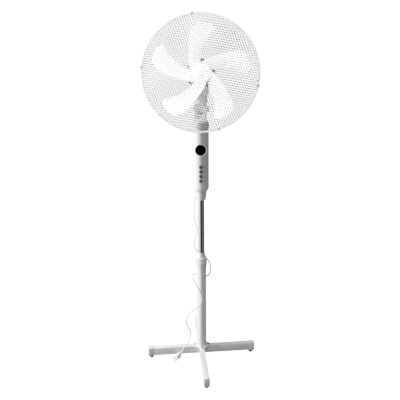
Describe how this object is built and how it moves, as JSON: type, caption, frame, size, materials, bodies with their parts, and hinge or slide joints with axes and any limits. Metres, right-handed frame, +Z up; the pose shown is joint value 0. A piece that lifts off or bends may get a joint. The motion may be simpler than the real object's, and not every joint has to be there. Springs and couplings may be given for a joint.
{
  "type": "pedestal fan",
  "caption": "Pedestal fan on a cross base, with a telescopic pole and grip ring, a round column with push buttons, and a tilting, swinging head whose rotor turns inside wire mesh guards.",
  "frame": {"origin": "on the floor at the centre of the cross base, under the pole", "axes": "+Z up along the pole, -Y the way the fan blows, +X to the right seen from the front of the fan"},
  "size_m": [0.4462, 0.4462, 1.3862],
  "materials": {
    "white_enamel": "gloss white powder coat",
    "white_plastic": "moulded white, light gloss",
    "grey_plastic": "moulded grey",
    "chrome_tube": "bright chrome plate",
    "zinc_screw": "zinc plated steel",
    "black_window": "polished smoked lens",
    "circuit_board": "solder mask",
    "button_grey": "satin",
    "foot_rubber": "soft rubber",
    "white_lead": "flexible sheath",
    "cast_alloy": "die cast",
    "core_steel": "varnished laminations",
    "copper_winding": "enamelled copper wire",
    "bronze_bush": "sintered bronze",
    "shaft_steel": "ground steel",
    "mesh_wire": "white coated wire netting, drawn as a see-through skin whose density gives the weight of the real netting",
    "blade_plastic": "milky white moulded plastic"
  },
  "bodies": {
    "base": {"leg_bar_long": "white_enamel", "leg_bar_cross": "white_enamel", "end_cap_1": "grey_plastic", "end_cap_2": "grey_plastic", "end_cap_3": "grey_plastic", "end_cap_4": "grey_plastic", "foot_1": "foot_rubber", "foot_2": "foot_rubber", "foot_3": "foot_rubber", "foot_4": "foot_rubber", "base_flange": "white_enamel", "flange_screws": "zinc_screw", "outer_tube": "white_enamel", "collar_sleeve": "white_plastic", "collet": "white_plastic", "cord_lower": "white_lead", "plug_body": "white_plastic", "plug_blades": "zinc_screw"},
    "ring": {"height_ring": "white_plastic"},
    "mast": {"inner_tube": "chrome_tube", "tube_end_bush": "grey_plastic", "column_lower_cone": "white_plastic", "column_front_shell": "white_plastic", "column_rear_shell": "white_plastic", "column_screws": "zinc_screw", "display_bezel": "white_plastic", "display_window": "black_window", "control_board": "circuit_board", "run_capacitor": "grey_plastic", "cord_grip": "white_plastic", "cord_upper": "white_lead", "tilt_yoke": "white_plastic", "tilt_bolt": "zinc_screw"},
    "knob": {"tilt_knob": "white_plastic"},
    "neck": {"neck_bracket": "white_plastic", "swivel_screw": "zinc_screw"},
    "link": {"swing_link": "zinc_screw"},
    "head": {"motor_foot": "cast_alloy", "motor_front_shield": "cast_alloy", "motor_rear_shield": "cast_alloy", "stator_core": "core_steel", "stator_windings": "copper_winding", "front_bearing": "bronze_bush", "rear_bearing": "bronze_bush", "motor_rear_cover": "white_plastic", "swing_motor": "zinc_screw", "rear_guard_mesh": "mesh_wire", "guard_nut": "white_plastic", "guard_rim": "white_plastic", "guard_clips": "white_plastic", "front_guard_mesh": "mesh_wire"},
    "crank": {"swing_crank": "grey_plastic"},
    "rotor": {"motor_shaft": "shaft_steel", "rotor_core": "core_steel", "fan_blade": "blade_plastic", "blade_nut": "white_plastic"},
    "key_1": {"button_1": "button_grey"},
    "key_2": {"button_2": "button_grey"},
    "key_3": {"button_3": "button_grey"},
    "key_4": {"button_4": "button_grey"}
  },
  "joints": [
    {"name": "height_slide", "type": "slide", "parent": "base", "child": "mast", "axis": [0, 0, 1], "range_m": [-0.2, 0.04], "deforming": ["cord_upper"]},
    {"name": "ring_turn", "type": "hinge", "parent": "base", "child": "ring", "pos_m": [0, 0, 0.415], "axis": [0, 0, 1], "range_deg": [0, 120]},
    {"name": "tilt", "type": "hinge", "parent": "mast", "child": "neck", "pos_m": [0, 0, 1.035], "axis": [1, 0, 0], "range_deg": [-20, 10]},
    {"name": "knob_turn", "type": "hinge", "parent": "mast", "child": "knob", "pos_m": [0.025, 0, 1.035], "axis": [1, 0, 0], "range_deg": [0, 180]},
    {"name": "swing", "type": "hinge", "parent": "neck", "child": "head", "pos_m": [0, 0, 1.08], "axis": [0, 0, 1], "range_deg": [-35, 35]},
    {"name": "link_turn", "type": "hinge", "parent": "neck", "child": "link", "pos_m": [-0.016, 0, 1.0915], "axis": [0, 0, 1], "range_deg": [-35, 35]},
    {"name": "crank_turn", "type": "hinge", "parent": "head", "child": "crank", "pos_m": [-0.013, 0.05, 1.097], "axis": [0, 0, 1], "continuous": true},
    {"name": "blade_spin", "type": "hinge", "parent": "head", "child": "rotor", "pos_m": [0, -0.088, 1.171], "axis": [0, 1, 0], "continuous": true},
    {"name": "button_1_press", "type": "slide", "parent": "mast", "child": "key_1", "axis": [0, 1, 0], "range_m": [0, 0.0015], "stiffness_N_per_m": 400},
    {"name": "button_2_press", "type": "slide", "parent": "mast", "child": "key_2", "axis": [0, 1, 0], "range_m": [0, 0.0015], "stiffness_N_per_m": 400},
    {"name": "button_3_press", "type": "slide", "parent": "mast", "child": "key_3", "axis": [0, 1, 0], "range_m": [0, 0.0015], "stiffness_N_per_m": 400},
    {"name": "button_4_press", "type": "slide", "parent": "mast", "child": "key_4", "axis": [0, 1, 0], "range_m": [0, 0.0015], "stiffness_N_per_m": 400}
  ],
  "couplings": [
    {"joint": "link_turn", "follows": "swing", "ratio": 1}
  ]
}
